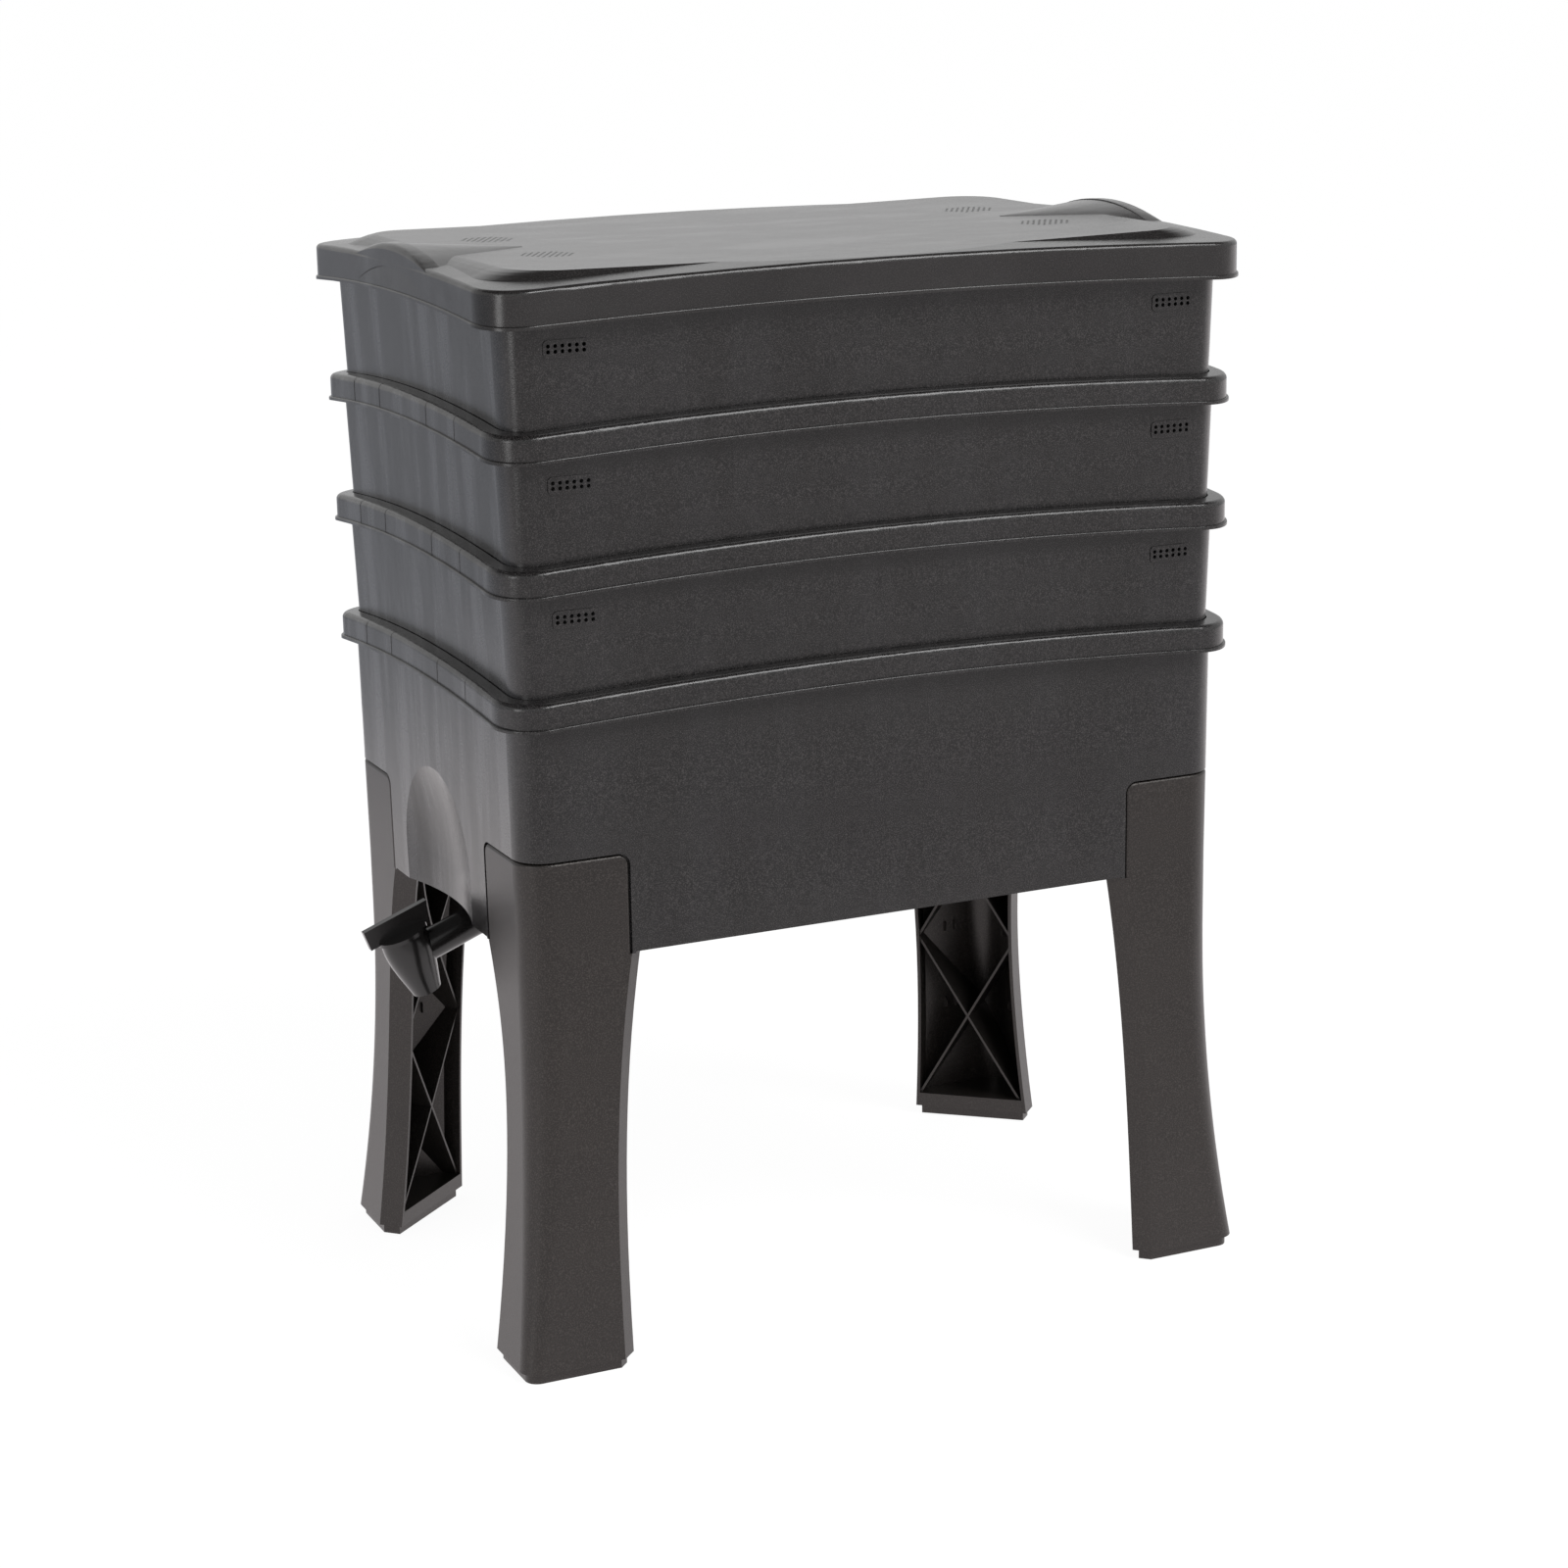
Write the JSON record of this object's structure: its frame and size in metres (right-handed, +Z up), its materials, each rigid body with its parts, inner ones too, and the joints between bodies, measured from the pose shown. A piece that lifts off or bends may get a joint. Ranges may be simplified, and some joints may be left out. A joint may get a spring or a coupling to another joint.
{
  "type": "wormery",
  "caption": "Tiered worm composting bin: nested perforated trays over a collector tub with a lever tap, on hollow corner legs, under a domed lid with end grips.",
  "frame": {"origin": "on the floor under the middle of the whole box, tap included", "axes": "+Z up, +X along the long side away from the tap, the tap at the -X end, -Y the side seen in front"},
  "size_m": [0.6488, 0.4134, 0.8126],
  "materials": {
    "bin_plastic": "fine moulded grain",
    "lid_plastic": "satin",
    "leg_plastic": "grained",
    "tap_plastic": "glossy",
    "seal_rubber": "smooth"
  },
  "bodies": {
    "stand": {"collector_tray": "bin_plastic", "leg_front_left": "leg_plastic", "leg_front_right": "leg_plastic", "leg_rear_left": "leg_plastic", "leg_rear_right": "leg_plastic", "tap_body": "tap_plastic", "tap_outer_washer": "seal_rubber", "tap_inner_washer": "seal_rubber", "tap_lock_nut": "tap_plastic"},
    "tap_turning_plug": {"tap_plug": "tap_plastic"},
    "bottom_tray": {"working_tray_bottom": "bin_plastic"},
    "middle_tray": {"working_tray_middle": "bin_plastic"},
    "top_tray": {"working_tray_top": "bin_plastic"},
    "cover": {"lid": "lid_plastic"}
  },
  "joints": [
    {"name": "tap_turn", "type": "hinge", "parent": "stand", "child": "tap_turning_plug", "pos_m": [-0.28681, 0, 0.2778], "axis": [-0.3584, 0, 0.9336], "range_deg": [0, 90]},
    {"name": "bottom_tray_lift", "type": "slide", "parent": "stand", "child": "bottom_tray", "axis": [0, 0, 1], "range_m": [0, 0.12]},
    {"name": "middle_tray_lift", "type": "slide", "parent": "bottom_tray", "child": "middle_tray", "axis": [0, 0, 1], "range_m": [0, 0.12]},
    {"name": "top_tray_lift", "type": "slide", "parent": "middle_tray", "child": "top_tray", "axis": [0, 0, 1], "range_m": [0, 0.12]},
    {"name": "lid_lift", "type": "slide", "parent": "top_tray", "child": "cover", "axis": [0, 0, 1], "range_m": [0, 0.1]}
  ]
}
